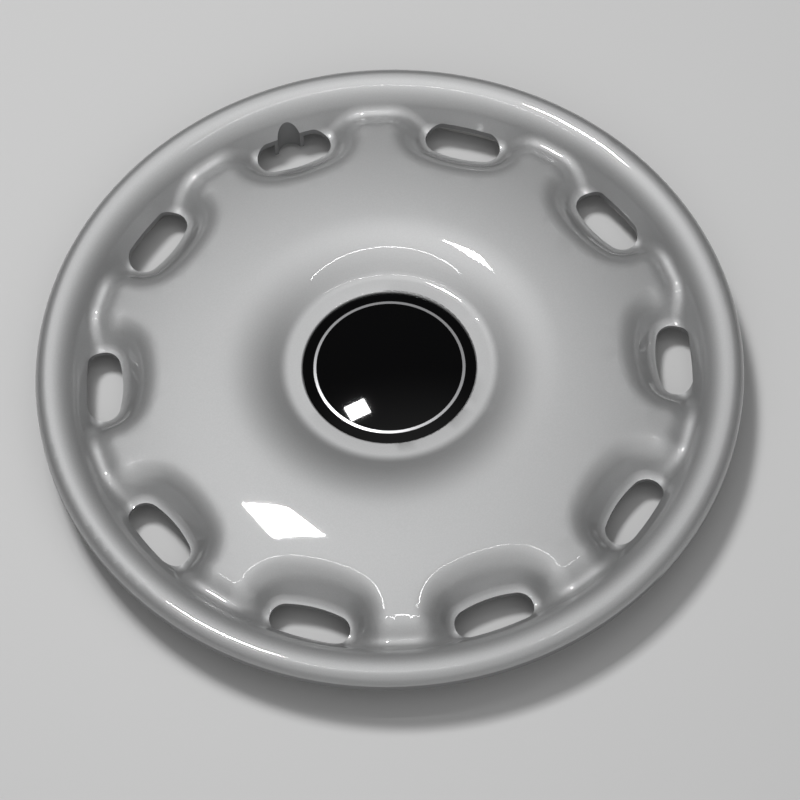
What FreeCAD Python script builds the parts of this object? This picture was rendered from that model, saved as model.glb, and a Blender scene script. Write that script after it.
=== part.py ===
"""Plastic wheel cover with ten vents, a domed centre badge and a wire retaining ring (millimetres)."""
import FreeCAD, Part
import math
import os

import Sketcher

NAMES = ("wheel_cover", "retaining_ring", "centre_badge")

# Every size of the object. Heights are measured up from the plane the leg feet stand on.
SIZES = {
    "overall_diameter": 380.0,
    "wall": 2.6,
    "bead_outer_radius": 6.5,
    "bead_inner_radius": 18.0,
    "bead_height": 34.5,
    "bead_slope": 60.0,
    "lip_height": 24.0,
    "floor_height": 14.5,
    "vent_count": 10.0,
    "vent_outer": 163.6,
    "vent_inner": 144.2,
    "vent_length": 43.0,
    "vent_end_curve": 8.7,
    "pocket_margin": -2.6,
    "pocket_slope": 55.0,
    "pocket_edge_round": 18.0,
    "knuckle_reach": 156.0,
    "knuckle_round": 18.0,
    "valley_round": 7.0,
    "root_depth": 2.0,
    "crest_radius": 92.0,
    "crest_height": 32.0,
    "face_curve": 420.0,
    "hub_radius": 54.0,
    "hub_height": 22.5,
    "dish_foot_curve": 12.0,
    "badge_diameter": 93.2,
    "badge_edge": 2.0,
    "badge_dome": 3.6,
    "badge_clearance": 0.2,
    "seat_depth": 3.4,
    "seat_edge_round": 1.0,
    "notch_width": 14.0,
    "notch_reach": 168.0,
    "guide_wall": 2.0,
    "guide_foot": 4.0,
    "leg_radius": 169.2,
    "leg_wall": 3.0,
    "leg_width": 26.0,
    "hook_depth": 2.0,
    "barb_depth": 2.6,
    "wire_diameter": 3.5,
    "wire_height": 9.5,
    "wire_clearance": 0.05,
    "wire_gap": 44.0,
}


def add_sheet(doc):
    """Write the sizes into a spreadsheet, one named cell each."""
    sheet = doc.addObject("Spreadsheet::Sheet", "Sizes")
    for row, (name, value) in enumerate(SIZES.items(), start=1):
        sheet.set("A%d" % row, name)
        sheet.set("B%d" % row, str(value))
        sheet.setAlias("B%d" % row, name)
    doc.recompute()
    return sheet


def origin_plane(body, role):
    """Return the body's own origin plane with the given role."""
    for item in body.Origin.OriginFeatures:
        if item.Role == role:
            return item
    raise ValueError("no plane " + role)


def add_sketch(body, name, role, height=None):
    """Add a sketch on an origin plane of the body, lifted by the height expression."""
    sketch = body.newObject("Sketcher::SketchObject", name)
    sketch.AttachmentSupport = [(origin_plane(body, role), "")]
    sketch.MapMode = "FlatFace"
    if height:
        sketch.setExpression(".AttachmentOffset.Base.z", height)
    return sketch


def point(x, y):
    """Return a place on the plane of a sketch."""
    return FreeCAD.Vector(x, y, 0)


def line(sketch, start, end):
    """Add a straight line. Its ends are only a first guess, which the dimensions then move."""
    return sketch.addGeometry(Part.LineSegment(point(*start), point(*end)), False)


def arc(sketch, centre, radius, start, end):
    """Add an arc, counter-clockwise from the start to the end angle in degrees, as a first guess too."""
    circle = Part.Circle(point(*centre), FreeCAD.Vector(0, 0, 1), radius)
    curve = Part.ArcOfCircle(circle, math.radians(start), math.radians(end))
    return sketch.addGeometry(curve, False)


def hold(sketch, kind, *places):
    """Add a relation without a size, such as a tangent join."""
    sketch.addConstraint(Sketcher.Constraint(kind, *places))


def size(sketch, kind, *places, to):
    """Add a dimension and bind it to an expression of the sizes."""
    amount = sketch.evalExpression(to)
    start = math.radians(float(amount)) if kind == "Angle" else float(amount)
    index = sketch.addConstraint(Sketcher.Constraint(kind, *places, start))
    sketch.setExpression("Constraints[%d]" % index, to)


def bind(feature, **sizes):
    """Bind properties of a feature to expressions."""
    for name, expression in sizes.items():
        feature.setExpression(name, expression)


def dome_sketch(body, name, inset):
    """Half section of the face: badge seat, flat hub, concave dish, crest and slope to the knuckle wall."""
    sketch = add_sketch(body, name, "XZ_Plane")
    base = line(sketch, (0, 14), (169.9, 14))
    wall = line(sketch, (169.9, 14), (162.6, 26.9))
    face = arc(sketch, (104, -318), 350.0, 80.4, 90)
    brow = arc(sketch, (104, -52.4), 84.4, 90, 115.9)
    dish = arc(sketch, (54, 50.5), 30.0, 270, 295.9)
    hub = line(sketch, (54, 20.5), (47.8, 20.5))
    edge = arc(sketch, (47.8, 19.5), 1.0, 90, 180)
    side = line(sketch, (46.8, 19.5), (46.8, 17.1))
    seat = line(sketch, (46.8, 17.1), (0, 17.1))
    axis = line(sketch, (0, 17.1), (0, 14))
    hold(sketch, "Coincident", base, 2, wall, 1)
    hold(sketch, "Coincident", wall, 2, face, 1)
    hold(sketch, "Tangent", face, 2, brow, 1)
    hold(sketch, "Tangent", brow, 2, dish, 2)
    hold(sketch, "Tangent", dish, 1, hub, 1)
    hold(sketch, "Tangent", hub, 2, edge, 1)
    hold(sketch, "Tangent", edge, 2, side, 1)
    hold(sketch, "Coincident", side, 2, seat, 1)
    hold(sketch, "Coincident", seat, 2, axis, 1)
    hold(sketch, "Coincident", axis, 2, base, 1)
    for level in (base, hub, seat):
        hold(sketch, "Horizontal", level)
    for upright in (side, axis):
        hold(sketch, "Vertical", upright)
    hold(sketch, "PointOnObject", axis, 1, -2)
    hold(sketch, "Vertical", face, 3, face, 2)
    size(sketch, "DistanceY", -1, 1, base, 1, to="Sizes.floor_height - Sizes.root_depth - " + inset)
    size(sketch, "DistanceX", -1, 1, base, 2, to=(
        "Sizes.knuckle_reach - (%s) * tan(Sizes.pocket_slope * 0.5 deg) + (Sizes.crest_height"
        " - Sizes.floor_height + Sizes.root_depth) / tan(Sizes.pocket_slope * 1 deg)" % inset))
    size(sketch, "Angle", wall, to="180 deg - Sizes.pocket_slope * 1 deg")
    size(sketch, "DistanceX", -1, 1, face, 3, to="Sizes.crest_radius")
    size(sketch, "DistanceY", -1, 1, face, 2, to="Sizes.crest_height - " + inset)
    size(sketch, "Radius", face, to="Sizes.face_curve - " + inset)
    size(sketch, "DistanceX", -1, 1, dish, 1, to="Sizes.hub_radius")
    size(sketch, "DistanceY", -1, 1, dish, 1, to="Sizes.hub_height - " + inset)
    size(sketch, "Radius", dish, to="Sizes.dish_foot_curve + " + inset)
    size(sketch, "Radius", edge, to="Sizes.seat_edge_round")
    size(sketch, "DistanceX", -1, 1, side, 2, to="Sizes.badge_diameter / 2 + Sizes.badge_clearance + " + inset)
    size(sketch, "DistanceY", -1, 1, seat, 2, to="Sizes.hub_height - Sizes.seat_depth - " + inset)
    return sketch


def revolve(body, name, sketch):
    """Turn a half section into a full round about the upright axis."""
    turned = body.newObject("PartDesign::Revolution", name)
    turned.Profile = sketch
    turned.ReferenceAxis = (sketch, ["V_Axis"])
    turned.Angle = 360
    sketch.Visibility = False
    return turned


def vent_inner_half(sketch, grow):
    """Draw the inner edge and both rounded ends of one vent, grown all round by an expression."""
    end = "Sizes.vent_end_curve + " + grow
    inner = arc(sketch, (209.2, 0), 65.0, 166.5, 193.5)
    near = arc(sketch, (154.4, -12.8), 8.7, 193.5, 270)
    far = arc(sketch, (154.4, 12.8), 8.7, 90, 166.5)
    tip = sketch.addGeometry(Part.Point(point(144.2, 0)), True)
    hold(sketch, "Tangent", inner, 2, near, 1)
    hold(sketch, "Tangent", far, 2, inner, 1)
    hold(sketch, "PointOnObject", tip, 1, -1)
    hold(sketch, "PointOnObject", tip, 1, inner)
    hold(sketch, "Symmetric", near, 3, far, 3, -1)
    hold(sketch, "Equal", near, far)
    size(sketch, "Radius", near, to=end)
    size(sketch, "DistanceX", -1, 1, tip, 1, to="Sizes.vent_inner - (%s)" % grow)
    size(sketch, "DistanceY", -1, 1, far, 3, to="Sizes.vent_length / 2 - Sizes.vent_end_curve")
    size(sketch, "DistanceX", -1, 1, far, 3, to=(
        "sqrt((Sizes.vent_outer - Sizes.vent_end_curve)^2 - (Sizes.vent_length / 2 - Sizes.vent_end_curve)^2)"))
    return near, far


def pocket_sketch(body, name, inset):
    """U-shaped outline of one pocket at its foot, open towards the rim."""
    sketch = add_sketch(body, name, "XY_Plane", "Sizes.floor_height - Sizes.root_depth - " + inset)
    grow = ("(%s) * tan(Sizes.pocket_slope * 0.5 deg) - Sizes.pocket_margin"
            " - Sizes.root_depth / tan(Sizes.pocket_slope * 1 deg)" % inset)
    near, far = vent_inner_half(sketch, grow)
    near_side = line(sketch, (154.4, -21.5), (190, -21.5))
    mouth = line(sketch, (190, -21.5), (190, 21.5))
    far_side = line(sketch, (190, 21.5), (154.4, 21.5))
    hold(sketch, "Tangent", near, 2, near_side, 1)
    hold(sketch, "Coincident", near_side, 2, mouth, 1)
    hold(sketch, "Coincident", mouth, 2, far_side, 1)
    hold(sketch, "Tangent", far_side, 2, far, 1)
    hold(sketch, "Horizontal", near_side)
    hold(sketch, "Horizontal", far_side)
    hold(sketch, "Vertical", mouth)
    size(sketch, "DistanceX", -1, 1, mouth, 1, to="Sizes.overall_diameter / 2")
    return sketch


def pan_sketch(body, name, inset, stepped):
    """Half section of the outer ring: flat floor, rising wall and rolled bead.

    The plain one runs straight down from the bead. The stepped one widens past the rim below the lip, so that
    the lip ends there once the inside is taken away.
    """
    sketch = add_sketch(body, name, "XZ_Plane")
    floor = line(sketch, (0, 16), (165.2, 16))
    wall = line(sketch, (165.2, 16), (171.1, 27.1))
    roll = arc(sketch, (183.5, 20.5), 14.0, 90, 152)
    bead = arc(sketch, (183.5, 28.0), 6.5, 0, 90)
    spots = [(190, 28), (190, 24), (195, 24), (195, -1)] if stepped else [(190, 28), (190, -1)]
    sides = [line(sketch, *pair) for pair in zip(spots, spots[1:])]
    base = line(sketch, spots[-1], (0, -1))
    axis = line(sketch, (0, -1), (0, 16))
    hold(sketch, "Coincident", floor, 2, wall, 1)
    hold(sketch, "Tangent", wall, 2, roll, 2)
    hold(sketch, "Tangent", roll, 1, bead, 2)
    hold(sketch, "Tangent", bead, 1, sides[0], 1)
    for side, after in zip(sides, sides[1:]):
        hold(sketch, "Coincident", side, 2, after, 1)
    hold(sketch, "Coincident", sides[-1], 2, base, 1)
    hold(sketch, "Coincident", base, 2, axis, 1)
    hold(sketch, "Coincident", axis, 2, floor, 1)
    for level in [floor, base] + sides[1:2]:
        hold(sketch, "Horizontal", level)
    for upright in [axis] + sides[::2]:
        hold(sketch, "Vertical", upright)
    hold(sketch, "PointOnObject", axis, 1, -2)
    hold(sketch, "Vertical", bead, 3, bead, 2)
    size(sketch, "DistanceY", -1, 1, floor, 1, to="Sizes.floor_height - " + inset)
    size(sketch, "Angle", wall, to="Sizes.bead_slope * 1 deg")
    size(sketch, "Radius", roll, to="Sizes.bead_inner_radius - " + inset)
    size(sketch, "Radius", bead, to="Sizes.bead_outer_radius - " + inset)
    size(sketch, "DistanceX", -1, 1, sides[0], 1, to="Sizes.overall_diameter / 2 - " + inset)
    size(sketch, "DistanceY", -1, 1, bead, 2, to="Sizes.bead_height - " + inset)
    size(sketch, "DistanceY", base, 2, -1, 1, to="1 + " + inset)
    if stepped:
        size(sketch, "DistanceY", -1, 1, sides[0], 2, to="Sizes.lip_height")
        size(sketch, "DistanceX", -1, 1, sides[2], 1, to="Sizes.overall_diameter / 2 + Sizes.wall")
    return sketch


def vent_sketch(body, name):
    """Closed outline of one vent: curved inner edge, rounded ends, outer edge concentric with the rim."""
    sketch = add_sketch(body, name, "XY_Plane")
    near, far = vent_inner_half(sketch, "0")
    outer = arc(sketch, (0, 0), 163.6, -4.7, 4.7)
    hold(sketch, "Tangent", near, 2, outer, 1)
    hold(sketch, "Tangent", outer, 2, far, 1)
    size(sketch, "Radius", outer, to="Sizes.vent_outer")
    return sketch


def notch_sketch(body, name, grow):
    """Round-ended slot from the middle of one vent out towards the rim, grown by an expression."""
    sketch = add_sketch(body, name, "XY_Plane")
    sketch.AttachmentOffset = FreeCAD.Placement(FreeCAD.Vector(), FreeCAD.Rotation(FreeCAD.Vector(0, 0, 1), 1))
    sketch.setExpression(".AttachmentOffset.Rotation.Angle", "3 * 360 / Sizes.vent_count")
    back = line(sketch, (155, 6.3), (155, -6.3))
    near = line(sketch, (155, -6.3), (170, -6.3))
    end = arc(sketch, (170, 0), 6.3, -90, 90)
    far = line(sketch, (170, 6.3), (155, 6.3))
    hold(sketch, "Coincident", back, 2, near, 1)
    hold(sketch, "Tangent", near, 2, end, 1)
    hold(sketch, "Tangent", end, 2, far, 1)
    hold(sketch, "Coincident", far, 2, back, 1)
    hold(sketch, "Vertical", back)
    hold(sketch, "Horizontal", near)
    hold(sketch, "PointOnObject", end, 3, -1)
    size(sketch, "Radius", end, to="Sizes.notch_width / 2 + " + grow)
    size(sketch, "DistanceX", -1, 1, end, 3, to="Sizes.notch_reach - Sizes.notch_width / 2")
    size(sketch, "DistanceX", -1, 1, back, 1, to="(Sizes.vent_inner + Sizes.vent_outer) / 2")
    return sketch


def leg_sketch(body, name):
    """Section of one clip leg: foot, barb towards the wheel and a hook round the wire on the other side."""
    sketch = add_sketch(body, name, "XZ_Plane")
    sketch.AttachmentOffset = FreeCAD.Placement(FreeCAD.Vector(), FreeCAD.Rotation(FreeCAD.Vector(0, 1, 0), 1))
    sketch.setExpression(".AttachmentOffset.Rotation.Angle", "180 / Sizes.vent_count")
    inner, outer = "Sizes.leg_radius", "Sizes.leg_radius + Sizes.leg_wall"
    hook = "Sizes.leg_radius - Sizes.hook_depth"
    groove = "(Sizes.wire_diameter / 2 + Sizes.wire_clearance)"
    corners = (
        (inner, "Sizes.bead_height"),
        (inner, "Sizes.wire_height + 2 * Sizes.hook_depth + " + groove),
        (hook, "Sizes.wire_height + Sizes.hook_depth + " + groove),
        (hook, "Sizes.wire_height + " + groove),
        (hook, "Sizes.wire_height - " + groove),
        (hook, "Sizes.wire_height - Sizes.hook_depth - " + groove),
        (inner, "0"),
        (outer, "0"),
        (outer + " + Sizes.barb_depth", "Sizes.barb_depth * 1.6"),
        (outer + " + Sizes.barb_depth", "Sizes.barb_depth * 2.2"),
        (outer, "Sizes.barb_depth * 3.4"),
        (outer, "Sizes.bead_height"),
    )
    spots = [tuple(float(sketch.evalExpression(place)) for place in corner) for corner in corners]
    edges = []
    for number, spot in enumerate(spots):
        following = spots[(number + 1) % len(spots)]
        if number == 3:
            middle = (spot[0], (spot[1] + following[1]) / 2)
            edges.append(arc(sketch, middle, (spot[1] - following[1]) / 2, -90, 90))
        else:
            edges.append(line(sketch, spot, following))
    ends = [(edge, 2 if number == 3 else 1) for number, edge in enumerate(edges)]
    for number, edge in enumerate(edges):
        after = ends[(number + 1) % len(edges)]
        hold(sketch, "Coincident", edge, 1 if number == 3 else 2, *after)
    for (edge, end), (across, up) in zip(ends, corners):
        size(sketch, "DistanceX", -1, 1, edge, end, to=across)
        if up == "0":
            hold(sketch, "PointOnObject", edge, end, -1)
        else:
            size(sketch, "DistanceY", -1, 1, edge, end, to=up)
    size(sketch, "DistanceX", -1, 1, edges[3], 3, to=hook)
    return sketch


def badge_sketch(body, name):
    """Half section of the badge: flat back, upright edge and shallow dome."""
    sketch = add_sketch(body, name, "XZ_Plane")
    base = line(sketch, (0, 0), (46.6, 0))
    rim = line(sketch, (46.6, 0), (46.6, 2))
    dome = arc(sketch, (0, -297.9), 303.5, 81.2, 90)
    axis = line(sketch, (0, 5.6), (0, 0))
    hold(sketch, "Coincident", base, 2, rim, 1)
    hold(sketch, "Coincident", rim, 2, dome, 1)
    hold(sketch, "Coincident", dome, 2, axis, 1)
    hold(sketch, "Coincident", axis, 2, base, 1)
    hold(sketch, "Coincident", base, 1, -1, 1)
    hold(sketch, "Horizontal", base)
    hold(sketch, "Vertical", rim)
    hold(sketch, "Vertical", axis)
    hold(sketch, "PointOnObject", dome, 3, -2)
    size(sketch, "DistanceX", -1, 1, base, 2, to="Sizes.badge_diameter / 2")
    size(sketch, "DistanceY", -1, 1, rim, 2, to="Sizes.badge_edge")
    size(sketch, "DistanceY", -1, 1, dome, 2, to="Sizes.badge_edge + Sizes.badge_dome")
    return sketch


def edge_points(edge):
    """Return points spread along an edge, as radius and height."""
    first, last = edge.ParameterRange
    spots = [edge.valueAt(first + (last - first) * share) for share in (0.0, 0.25, 0.5, 0.75, 1.0)]
    return [(math.hypot(spot.x, spot.y), spot.z) for spot in spots]


def edge_names(shape, wanted):
    """Return the names of the edges whose points, as a list of radius and height, pass the test."""
    return ["Edge%d" % number for number, edge in enumerate(shape.Edges, start=1) if wanted(edge_points(edge))]


def add_fillet(body, name, base, names, radius):
    """Round the named edges of a feature."""
    fillet = body.newObject("PartDesign::Fillet", name)
    fillet.Base = (base, names)
    bind(fillet, Radius=radius)
    return fillet


def add_ring(body, name, feature, axis_sketch):
    """Repeat a feature once for each vent."""
    ring = body.newObject("PartDesign::PolarPattern", name)
    ring.Originals = [feature]
    ring.Axis = (axis_sketch, ["N_Axis"])
    ring.Angle = 360
    bind(ring, Occurrences="Sizes.vent_count")
    body.Tip = ring
    return ring


def add_form(doc, sheet, label, inset, stepped):
    """Build the solid under the cover's skin, drawn in from the outside by an expression.

    A dished dome loses one tapered pocket at each vent, which leaves ten knuckles. Their corners and upper
    edges are rounded before the rim's ring is added, and the valley between ring and knuckles after it.
    """
    depth = float(sheet.evalExpression(inset))
    body = doc.addObject("PartDesign::Body", label)
    dome = revolve(body, label + "_dome", dome_sketch(body, label + "_dome_section", inset))
    pocket = body.newObject("PartDesign::Pocket", label + "_pocket")
    pocket.Profile = pocket_sketch(body, label + "_pocket_outline", inset)
    pocket.Type = "Length"
    pocket.Reversed = True
    bind(pocket, Length="Sizes.crest_height", TaperAngle="90 - Sizes.pocket_slope")
    pockets = add_ring(body, label + "_pockets", pocket, pocket.Profile[0])
    doc.recompute()

    root = sheet.floor_height - sheet.root_depth - depth

    def at_corner(points):
        heights = [height for _, height in points]
        reach = min(radius for radius, _ in points)
        return min(heights) < root + 0.01 and max(heights) > root + 6 and reach > sheet.knuckle_reach - 3

    corners = add_fillet(body, label + "_knuckle_rounds", pockets, edge_names(pockets.Shape, at_corner),
                         "Sizes.knuckle_round - " + inset)
    doc.recompute()

    def on_face(points):
        curve = sheet.face_curve - depth
        centre = sheet.crest_height - sheet.face_curve
        for radius, height in points:
            across = radius - sheet.crest_radius
            if across < 10 or abs(centre + math.sqrt(curve ** 2 - across ** 2) - height) > 0.02:
                return False
        return True

    add_fillet(body, label + "_pocket_rounds", corners, edge_names(corners.Shape, on_face),
               "Sizes.pocket_edge_round - " + inset)
    pan = revolve(body, label + "_pan", pan_sketch(body, label + "_pan_section", inset, stepped))
    doc.recompute()

    section = pan.Profile[0].Shape
    low = sheet.floor_height - depth - 0.02
    high = sheet.floor_height - depth + 9

    def in_valley(points):
        for radius, height in points:
            spot = Part.Vertex(FreeCAD.Vector(radius, 0, height))
            if radius < 130 or not low < height < high or section.distToShape(spot)[0] > 0.02:
                return False
        return True

    add_fillet(body, label + "_valley_round", pan, edge_names(pan.Shape, in_valley),
               "Sizes.valley_round + " + inset)
    doc.recompute()
    return body


def add_prism(body, name, sketch):
    """Raise an outline right through the height of the cover, as a tool for an opening."""
    prism = body.newObject("PartDesign::Pad", name)
    prism.Profile = sketch
    prism.Midplane = True
    bind(prism, Length="Sizes.bead_height * 3")
    return prism


def add_hollow(doc, sheet):
    """Build the room inside the cover, less the legs and the valve guide that stand in it."""
    body = add_form(doc, sheet, "hollow", "Sizes.wall", True)
    outline = notch_sketch(body, "guide_outline", "Sizes.guide_wall")
    outline.setExpression(".AttachmentOffset.Base.z", "Sizes.guide_foot")
    guide = body.newObject("PartDesign::Pocket", "guide_room")
    guide.Profile = outline
    guide.Type = "Length"
    guide.Reversed = True
    guide.Refine = False
    bind(guide, Length="Sizes.bead_height")
    leg = body.newObject("PartDesign::Groove", "leg_room")
    leg.Profile = leg_sketch(body, "leg_section")
    leg.ReferenceAxis = (leg.Profile[0], ["V_Axis"])
    leg.Midplane = True
    leg.Refine = False
    bind(leg, Angle="Sizes.leg_width / Sizes.leg_radius * 180 / pi")
    legs = add_ring(body, "leg_rooms", leg, outline)
    legs.Refine = False
    doc.recompute()
    return body


def add_openings(doc):
    """Build the tool for the vents and for the valve notch beside one of them."""
    body = doc.addObject("PartDesign::Body", "openings")
    body.AllowCompound = True
    vent = add_prism(body, "vent", vent_sketch(body, "vent_outline"))
    add_ring(body, "vents", vent, vent.Profile[0])
    notch = add_prism(body, "valve_notch", notch_sketch(body, "notch_outline", "0"))
    body.Tip = notch
    doc.recompute()
    return body


def add_cover(doc, sheet):
    """Build the moulding: the outer form less the hollow and the openings."""
    body = add_form(doc, sheet, "wheel_cover", "0", False)
    shell = body.newObject("PartDesign::Boolean", "shell")
    shell.Type = "Cut"
    shell.Refine = False
    shell.Group = [add_hollow(doc, sheet), add_openings(doc)]
    doc.recompute()
    return body


def add_badge(doc):
    """Build the domed disc on the floor of its seat."""
    body = doc.addObject("PartDesign::Body", "centre_badge")
    revolve(body, "badge_dome", badge_sketch(body, "badge_section"))
    body.setExpression(".Placement.Base.z", "Sizes.hub_height - Sizes.seat_depth")
    return body


def add_wire(doc):
    """Build the open ring of spring wire in the hooks of the legs, with its gap at the tyre valve."""
    body = doc.addObject("PartDesign::Body", "retaining_ring")
    section = add_sketch(body, "wire_section", "XZ_Plane")
    circle = section.addGeometry(Part.Circle(point(167.2, 9.5), FreeCAD.Vector(0, 0, 1), 1.75), False)
    size(section, "Radius", circle, to="Sizes.wire_diameter / 2")
    size(section, "DistanceX", -1, 1, circle, 3, to="Sizes.leg_radius - Sizes.hook_depth")
    size(section, "DistanceY", -1, 1, circle, 3, to="Sizes.wire_height")
    wire = revolve(body, "wire", section)
    wire.Midplane = True
    bind(wire, Angle="360 - Sizes.wire_gap / (Sizes.leg_radius - Sizes.hook_depth) * 180 / pi")
    body.Placement = FreeCAD.Placement(FreeCAD.Vector(), FreeCAD.Rotation(FreeCAD.Vector(0, 0, 1), 1))
    body.setExpression(".Placement.Rotation.Angle", "180 + 3 * 360 / Sizes.vent_count")
    return body


def check(doc):
    """Stop if any object of the document failed or has no sound shape."""
    for item in doc.Objects:
        if "Invalid" in item.State or "Error" in item.State:
            raise RuntimeError(item.Label + " failed: " + item.getStatusString())
    for name in NAMES:
        shape = doc.getObject(name).Shape
        if shape.isNull() or not shape.isValid() or len(shape.Solids) != 1:
            raise RuntimeError(name + " is not one sound solid")


def main():
    """Build the three pieces and write one solid file for each."""
    doc = FreeCAD.newDocument("hubcap")
    sheet = add_sheet(doc)
    add_cover(doc, sheet)
    add_badge(doc)
    add_wire(doc)
    doc.recompute()
    check(doc)
    os.makedirs("parts", exist_ok=True)
    for name in NAMES:
        piece = doc.getObject(name)
        piece.Label = name
        piece.Shape.exportStep("parts/%s.step" % name)
        print(name, round(piece.Shape.Volume), piece.Shape.BoundBox)


main()
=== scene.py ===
"""Studio scene of a silver plastic wheel cover lying face up on its clip legs.

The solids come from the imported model. This script gives them their finishes, lays them on a pale floor
under soft light, and sets a camera at the angle of the reference view.
"""

from __future__ import annotations

import logging
import math
from dataclasses import dataclass
from enum import Enum
from typing import Any, Mapping, Sequence

import bmesh
import bpy
from mathutils import Matrix, Vector


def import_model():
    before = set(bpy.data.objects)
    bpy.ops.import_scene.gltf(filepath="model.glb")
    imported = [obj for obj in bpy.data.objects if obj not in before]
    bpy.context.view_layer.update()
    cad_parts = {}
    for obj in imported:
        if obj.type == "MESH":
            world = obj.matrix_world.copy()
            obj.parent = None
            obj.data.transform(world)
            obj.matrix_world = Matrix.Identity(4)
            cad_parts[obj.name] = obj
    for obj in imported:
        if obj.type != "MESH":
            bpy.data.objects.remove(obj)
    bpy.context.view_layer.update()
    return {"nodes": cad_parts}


LOG = logging.getLogger("wheel_cover")
MM = 0.001

Colour = tuple[float, float, float]
Direction = tuple[float, float, float]


class Node(str, Enum):
    """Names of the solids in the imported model."""

    COVER = "wheel_cover"
    RING = "retaining_ring"
    BADGE = "centre_badge"


class Slot(str, Enum):
    """Names of the material slots that the pieces carry."""

    PAINT = "silver_paint"
    WIRE = "spring_wire"
    BADGE = "badge_black"


class Value:
    """A number socket that can be used in Python arithmetic."""

    def __init__(self, shader: "Shader", socket: Any) -> None:
        """Keep the socket and the shader it belongs to."""
        self.shader = shader
        self.socket = socket

    def _math(self, operation: str, first: Any, second: Any) -> "Value":
        """Add a Math node.

        Args:
            operation: Blender's name of the operation.
            first: The first operand.
            second: The second operand.

        Returns:
            The node's result.
        """
        return self.shader.node("ShaderNodeMath", {"operation": operation}, {0: first, 1: second}).value()

    def __add__(self, other: Any) -> "Value":
        """Return the sum."""
        return self._math("ADD", self, other)

    __radd__ = __add__

    def __sub__(self, other: Any) -> "Value":
        """Return the difference."""
        return self._math("SUBTRACT", self, other)

    def __rsub__(self, other: Any) -> "Value":
        """Return the difference the other way round."""
        return self._math("SUBTRACT", other, self)

    def __mul__(self, other: Any) -> "Value":
        """Return the product."""
        return self._math("MULTIPLY", self, other)

    __rmul__ = __mul__

    def power(self, exponent: float) -> "Value":
        """Return the value raised to a power."""
        return self._math("POWER", self, exponent)

    def ramp(self, low: float, high: float) -> "Value":
        """Return 0 below low, 1 above high and a smooth step between them."""
        settings = {"interpolation_type": "SMOOTHSTEP"}
        sockets = {"Value": self, "From Min": low, "From Max": high, "To Min": 0.0, "To Max": 1.0}
        return self.shader.node("ShaderNodeMapRange", settings, sockets).value("Result")


class Placed:
    """A node that has been added to a shader."""

    def __init__(self, shader: "Shader", node: Any) -> None:
        """Keep the node and the shader it belongs to."""
        self.shader = shader
        self.node = node

    def out(self, name: str | int = 0) -> Any:
        """Return an output socket."""
        return self.node.outputs[name]

    def value(self, name: str | int = 0) -> Value:
        """Return an output socket as a number for arithmetic."""
        return Value(self.shader, self.node.outputs[name])


class Shader:
    """Adds nodes to one node tree.

    A Mix node has sockets of the same name for each type of data, so its colours are found by their places.
    """

    MIX_FIRST = 6
    MIX_SECOND = 7
    MIX_RESULT = 2

    def __init__(self, tree: Any) -> None:
        """Empty the tree."""
        self.tree = tree
        tree.nodes.clear()

    def node(self, kind: str, settings: Mapping[str, Any] | None = None,
             sockets: Mapping[str | int, Any] | None = None) -> Placed:
        """Add a node.

        Args:
            kind: Blender's type name of the node.
            settings: Properties of the node, set before its sockets.
            sockets: Values or links of its input sockets.

        Returns:
            The node.
        """
        node = self.tree.nodes.new(kind)
        for name, item in (settings or {}).items():
            setattr(node, name, item)
        for name, item in (sockets or {}).items():
            source = item.socket if isinstance(item, Value) else item
            if isinstance(source, bpy.types.NodeSocket):
                self.tree.links.new(source, node.inputs[name])
            else:
                node.inputs[name].default_value = source
        return Placed(self, node)

    def parts(self, vector: Any) -> Placed:
        """Return a node whose outputs X, Y and Z are the vector's parts."""
        return self.node("ShaderNodeSeparateXYZ", None, {"Vector": vector})

    def noise(self, size: float, detail: float) -> Value:
        """Add noise that is fixed to the object.

        Args:
            size: About how large its spots are, in metres.
            detail: How many finer layers it has.

        Returns:
            The noise, from 0 to 1.
        """
        place = self.node("ShaderNodeTexCoord").out("Object")
        sockets = {"Vector": place, "Scale": 1.0 / size, "Detail": detail}
        return self.node("ShaderNodeTexNoise", None, sockets).value("Fac")

    def radius(self) -> Value:
        """Return the distance from the object's upright axis, in metres."""
        parts = self.parts(self.node("ShaderNodeTexCoord").out("Object"))
        across, along = parts.value("X"), parts.value("Y")
        return (across * across + along * along).power(0.5)

    def mix(self, factor: Any, first: Any, second: Any) -> Any:
        """Mix two colours.

        Args:
            factor: Share of the second colour.
            first: The colour at factor 0.
            second: The colour at factor 1.

        Returns:
            The mixed colour's socket.
        """
        sockets = {"Factor": factor, self.MIX_FIRST: rgba(first), self.MIX_SECOND: rgba(second)}
        return self.node("ShaderNodeMix", {"data_type": "RGBA"}, sockets).out(self.MIX_RESULT)

    def surface(self, sockets: Mapping[str | int, Any]) -> None:
        """Add the surface and the material's output.

        Args:
            sockets: Values or links of the surface's sockets.
        """
        body = self.node("ShaderNodeBsdfPrincipled", None, sockets)
        self.node("ShaderNodeOutputMaterial", None, {"Surface": body.out("BSDF")})


def rgba(colour: Any) -> Any:
    """Return a colour of three numbers with an alpha of one, and anything else as it is."""
    return (*colour, 1.0) if isinstance(colour, tuple) and len(colour) == 3 else colour


def new_material(name: str) -> tuple[bpy.types.Material, Shader]:
    """Make a material with no nodes yet.

    Args:
        name: The material's name.

    Returns:
        The material and the shader that fills it.
    """
    material = bpy.data.materials.new(name)
    material.use_nodes = True
    return material, Shader(material.node_tree)


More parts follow.
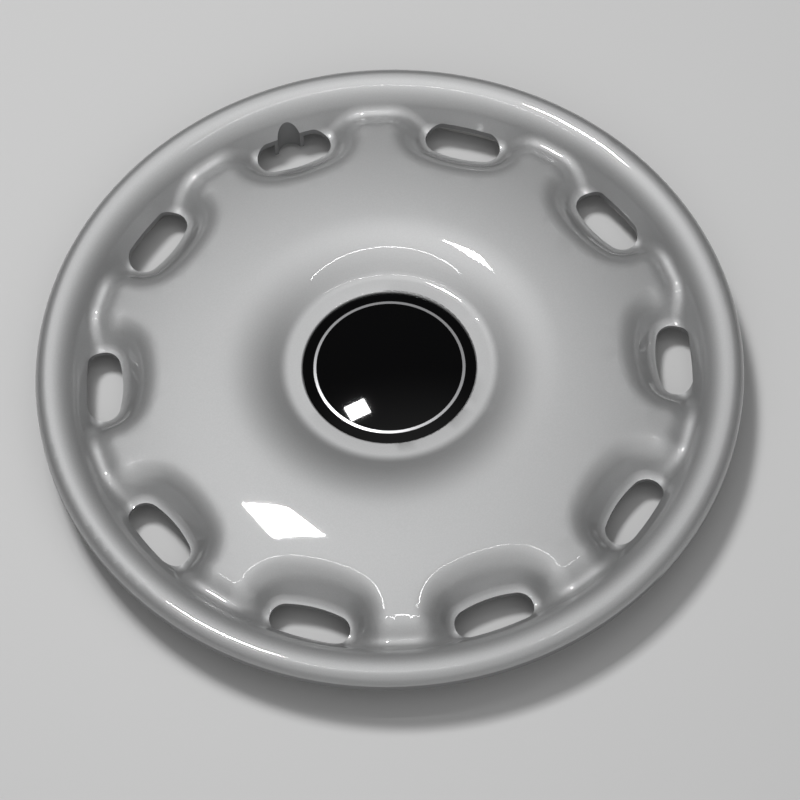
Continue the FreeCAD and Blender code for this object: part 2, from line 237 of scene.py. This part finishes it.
@dataclass(frozen=True)
class SilverPaint:
    """Silver base coat with fine flake under clear lacquer, sprayed from the front on a grey moulding.

    Faces that look up are painted. Upright ones and the back are bare, grained plastic. painted_tilt is the
    upright part of a face's normal, where the paint starts and where it is full.
    """

    name: str = "silver paint"
    colour: Colour = (0.455, 0.457, 0.459)
    flake_colour: Colour = (0.475, 0.477, 0.479)
    flake_size: float = 0.7 * MM
    flake_detail: float = 1.0
    flake_band: tuple[float, float] = (0.35, 0.68)
    metallic: float = 0.9
    roughness: float = 0.62
    coat: float = 1.0
    coat_roughness: float = 0.025
    coat_ior: float = 1.5
    bare_colour: Colour = (0.18, 0.181, 0.183)
    bare_roughness: float = 0.5
    grain_size: float = 0.9 * MM
    grain_detail: float = 2.0
    grain_depth: float = 0.03 * MM
    painted_tilt: tuple[float, float] = (0.02, 0.12)

    def build(self) -> bpy.types.Material:
        """Return the material."""
        material, shader = new_material(self.name)
        normal = shader.node("ShaderNodeTexCoord").out("Normal")
        paint = shader.parts(normal).value("Z").ramp(*self.painted_tilt)
        flake = shader.noise(self.flake_size, self.flake_detail).ramp(*self.flake_band)
        silver = shader.mix(flake, self.colour, self.flake_colour)
        grain = shader.noise(self.grain_size, self.grain_detail) * (1.0 - paint)
        relief = shader.node("ShaderNodeBump", None, {
            "Height": grain,
            "Distance": self.grain_depth,
            "Strength": 1.0,
        })
        shader.surface({
            "Base Color": shader.mix(paint, self.bare_colour, silver),
            "Metallic": paint * self.metallic,
            "Roughness": self.bare_roughness + paint * (self.roughness - self.bare_roughness),
            "Normal": relief.out("Normal"),
            "Coat Weight": paint * self.coat,
            "Coat Roughness": self.coat_roughness,
            "Coat IOR": self.coat_ior,
        })
        return material


@dataclass(frozen=True)
class BadgeLacquer:
    """Gloss black disc with one thin silver ring printed on it."""

    name: str = "badge lacquer"
    colour: Colour = (0.002, 0.002, 0.0022)
    roughness: float = 0.03
    gloss: float = 0.3
    ring_colour: Colour = (0.42, 0.42, 0.43)
    ring_metallic: float = 0.6
    ring_roughness: float = 0.3
    ring_radius: float = 40.2 * MM
    ring_width: float = 1.5 * MM
    edge_blur: float = 0.12 * MM

    def build(self) -> bpy.types.Material:
        """Return the material."""
        material, shader = new_material(self.name)
        radius = shader.radius()
        inner = self.ring_radius - self.ring_width / 2
        outer = self.ring_radius + self.ring_width / 2
        inside = radius.ramp(inner - self.edge_blur, inner + self.edge_blur)
        outside = radius.ramp(outer - self.edge_blur, outer + self.edge_blur)
        ring = inside * (1.0 - outside)
        shader.surface({
            "Base Color": shader.mix(ring, self.colour, self.ring_colour),
            "Metallic": ring * self.ring_metallic,
            "Roughness": self.roughness + ring * (self.ring_roughness - self.roughness),
            "Specular IOR Level": self.gloss,
        })
        return material


@dataclass(frozen=True)
class SpringSteel:
    """Drawn steel wire, a little duller in spots."""

    name: str = "spring steel"
    colour: Colour = (0.36, 0.355, 0.35)
    roughness: float = 0.36
    dull_roughness: float = 0.48
    spot_size: float = 4.0 * MM
    spot_detail: float = 3.0

    def build(self) -> bpy.types.Material:
        """Return the material."""
        material, shader = new_material(self.name)
        spots = shader.noise(self.spot_size, self.spot_detail)
        shader.surface({
            "Base Color": rgba(self.colour),
            "Metallic": 1.0,
            "Roughness": self.roughness + spots * (self.dull_roughness - self.roughness),
        })
        return material


@dataclass(frozen=True)
class PaleFloor:
    """Plain pale studio floor."""

    name: str = "pale floor"
    colour: Colour = (0.505, 0.505, 0.505)
    roughness: float = 0.6

    def build(self) -> bpy.types.Material:
        """Return the material."""
        material, shader = new_material(self.name)
        shader.surface({"Base Color": rgba(self.colour), "Roughness": self.roughness})
        return material


@dataclass(frozen=True)
class Piece:
    """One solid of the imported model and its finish.

    Corners nearer than seam_gap are shaded as one, and edges that turn by more than edge_angle, in degrees,
    stay sharp.
    """

    node: Node
    slot: Slot
    finish: SilverPaint | BadgeLacquer | SpringSteel
    seam_gap: float = 0.002 * MM
    edge_angle: float = 22.0

    def smooth(self, solid: bpy.types.Object) -> None:
        """Let the shading run over the seams between faces and break only at real edges.

        Args:
            solid: The solid, whose shape stays as it is.
        """
        seams = solid.modifiers.new("join seams", "WELD")
        seams.merge_threshold = self.seam_gap
        edges = solid.modifiers.new("keep edges", "EDGE_SPLIT")
        edges.use_edge_sharp = False
        edges.split_angle = math.radians(self.edge_angle)
        shading = solid.modifiers.new("even shading", "WEIGHTED_NORMAL")
        shading.mode = "CORNER_ANGLE"

    def dress(self, nodes: Mapping[str, bpy.types.Object]) -> None:
        """Give the solid its finish.

        Args:
            nodes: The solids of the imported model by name.
        """
        solid = nodes[self.node.value]
        solid.data.materials.clear()
        solid.data.materials.append(self.finish.build())
        self.smooth(solid)
        LOG.info("%s dressed in %s", self.node.value, self.finish.name)


@dataclass(frozen=True)
class SoftLight:
    """A rectangular lamp that faces the object, with distance and sides in metres and power in watts.

    With on_dull off it leaves dull surfaces alone, and with on_gloss off glossy ones don't mirror it.
    """

    name: str
    direction: Direction
    distance: float
    width: float
    depth: float
    power: float
    on_dull: bool = True
    on_gloss: bool = True

    def place(self, target: Vector) -> None:
        """Add the lamp.

        Args:
            target: The point it faces.
        """
        data = bpy.data.lights.new(self.name, "AREA")
        data.shape = "RECTANGLE"
        data.size = self.width
        data.size_y = self.depth
        data.energy = self.power
        lamp = bpy.data.objects.new(self.name, data)
        toward = Vector(self.direction).normalized()
        lamp.location = target + toward * self.distance
        lamp.rotation_euler = toward.to_track_quat("Z", "Y").to_euler()
        lamp.visible_diffuse = self.on_dull
        lamp.visible_glossy = self.on_gloss
        bpy.context.scene.collection.objects.link(lamp)


@dataclass(frozen=True)
class Studio:
    """Pale floor, three lamps, and a glow from the camera's side that fades out towards the back.

    The compact lamp makes the sharp highlights, the broad one the soft shadow on the floor, and the strip
    the thin bright lines along rounded edges. The glow starts at glow_edge and is full at glow_core, which
    are cosines of the angle from its axis.
    """

    floor_size: float = 8.0
    floor_finish: PaleFloor = PaleFloor()
    aim_height: float = 20.0 * MM
    glow_axis: Direction = (0.08, -0.55, 0.82)
    glow_strength: float = 1.02
    glow_edge: float = 0.45
    glow_core: float = 0.95
    gloom: float = 0.06
    lamps: Sequence[SoftLight] = (
        SoftLight("compact lamp", direction=(-0.169, 0.398, 1.22), distance=1.31,
                  width=0.11, depth=0.09, power=7.3, on_dull=False),
        SoftLight("broad lamp", direction=(-0.31, 0.398, 1.22), distance=2.62,
                  width=0.5, depth=0.5, power=49.0, on_gloss=False),
        SoftLight("strip lamp", direction=(0.0, 0.03, 1.28), distance=1.28,
                  width=1.0, depth=0.012, power=1.0),
    )

    def build(self) -> None:
        """Add the floor, the surroundings and the lamps."""
        self.build_floor()
        self.build_surroundings()
        for lamp in self.lamps:
            lamp.place(Vector((0.0, 0.0, self.aim_height)))

    def build_floor(self) -> None:
        """Add the floor that the cover's legs stand on."""
        mesh = bpy.data.meshes.new("floor")
        sheet = bmesh.new()
        bmesh.ops.create_grid(sheet, x_segments=1, y_segments=1, size=self.floor_size / 2)
        sheet.to_mesh(mesh)
        sheet.free()
        mesh.materials.append(self.floor_finish.build())
        floor = bpy.data.objects.new("floor", mesh)
        bpy.context.scene.collection.objects.link(floor)

    def build_surroundings(self) -> None:
        """Set surroundings that glow round one axis and are dim elsewhere."""
        world = bpy.data.worlds.new("surroundings")
        world.use_nodes = True
        bpy.context.scene.world = world
        shader = Shader(world.node_tree)
        parts = shader.parts(shader.node("ShaderNodeTexCoord").out("Generated"))
        axis = Vector(self.glow_axis).normalized()
        toward = parts.value("X") * axis.x + parts.value("Y") * axis.y + parts.value("Z") * axis.z
        strength = self.gloom + toward.ramp(self.glow_edge, self.glow_core) * self.glow_strength
        light = shader.node("ShaderNodeBackground", None, {"Strength": strength})
        shader.node("ShaderNodeOutputWorld", None, {"Surface": light.out("Background")})


@dataclass(frozen=True)
class ViewCamera:
    """Camera at the angle of the reference view, with angles in degrees and the sensor in millimetres."""

    aim_height: float = 16.0 * MM
    elevation: float = 60.85
    turn: float = -0.9
    roll: float = 1.93
    distance: float = 1.544
    slide_right: float = 5.1 * MM
    slide_up: float = -15.3 * MM
    focal_pixels: float = 2856.0
    image_pixels: float = 800.0
    sensor: float = 36.0
    near_limit: float = 0.05

    def place(self) -> None:
        """Add the camera and make it the scene's own."""
        tilt, turn, roll = (math.radians(angle) for angle in (self.elevation, self.turn, self.roll))
        spin = Matrix.Rotation(turn, 3, "Z")
        right = spin @ Vector((1.0, 0.0, 0.0))
        back = spin @ Vector((0.0, -math.cos(tilt), math.sin(tilt)))
        up = spin @ Vector((0.0, math.sin(tilt), math.cos(tilt)))
        aim = Vector((0.0, 0.0, self.aim_height))
        level = right * math.cos(roll) - up * math.sin(roll)
        upright = right * math.sin(roll) + up * math.cos(roll)
        pose = Matrix((level, upright, back)).transposed().to_4x4()
        pose.translation = aim + back * self.distance + right * self.slide_right + up * self.slide_up
        data = bpy.data.cameras.new("view")
        data.sensor_fit = "HORIZONTAL"
        data.sensor_width = self.sensor
        data.lens = self.focal_pixels / self.image_pixels * self.sensor
        data.clip_start = self.near_limit
        camera = bpy.data.objects.new("view", data)
        camera.matrix_world = pose
        bpy.context.scene.collection.objects.link(camera)
        bpy.context.scene.camera = camera


def main() -> None:
    """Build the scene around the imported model."""
    logging.basicConfig(level=logging.INFO)
    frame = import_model()
    bpy.context.scene.view_settings.view_transform = "Standard"
    pieces = (
        Piece(Node.COVER, Slot.PAINT, SilverPaint()),
        Piece(Node.RING, Slot.WIRE, SpringSteel()),
        Piece(Node.BADGE, Slot.BADGE, BadgeLacquer()),
    )
    for piece in pieces:
        piece.dress(frame["nodes"])
    Studio().build()
    ViewCamera().place()


if __name__ == "__main__":
    main()
